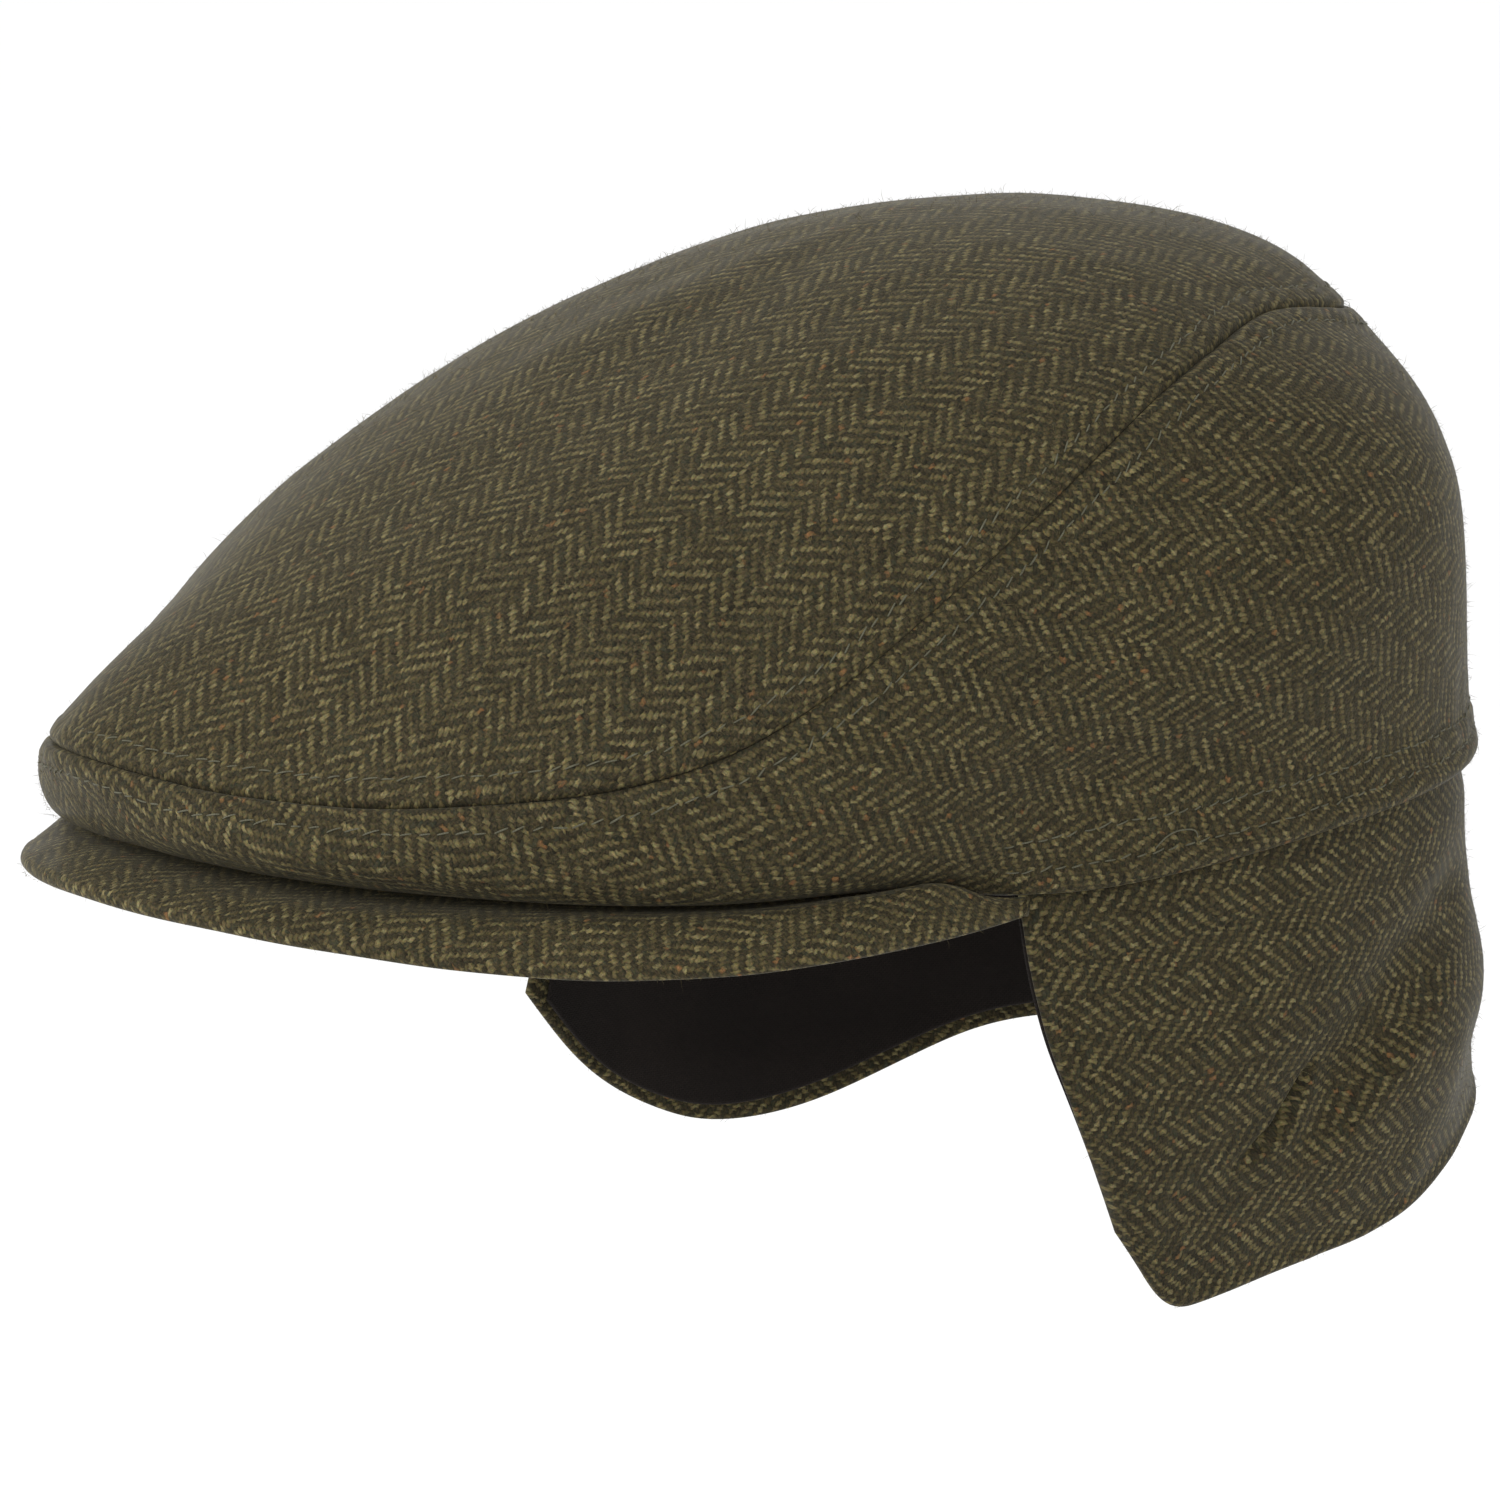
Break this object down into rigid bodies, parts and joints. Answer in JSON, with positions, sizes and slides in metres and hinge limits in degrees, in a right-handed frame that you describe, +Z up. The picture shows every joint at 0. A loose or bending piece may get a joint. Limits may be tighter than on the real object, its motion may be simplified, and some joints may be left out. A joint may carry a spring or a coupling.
{
  "type": "flat cap",
  "caption": "Flat cap with a low rounded crown, a short stiff peak and a one-piece flap folded down over the ears and neck.",
  "frame": {"origin": "centre of the head opening, in the plane of the cap's rim", "axes": "-Y to the front, where the peak is; +X to the wearer's left; +Z up through the crown"},
  "size_m": [0.187, 0.2738, 0.1822],
  "materials": {
    "tweed": "rough olive-brown wool herringbone",
    "lining": "matt near-black lining"
  },
  "bodies": {
    "root": {"crown_top": "tweed", "side_band": "tweed", "peak": "tweed", "ear_flap": "tweed", "ear_flap_lining": "lining"}
  },
  "joints": []
}
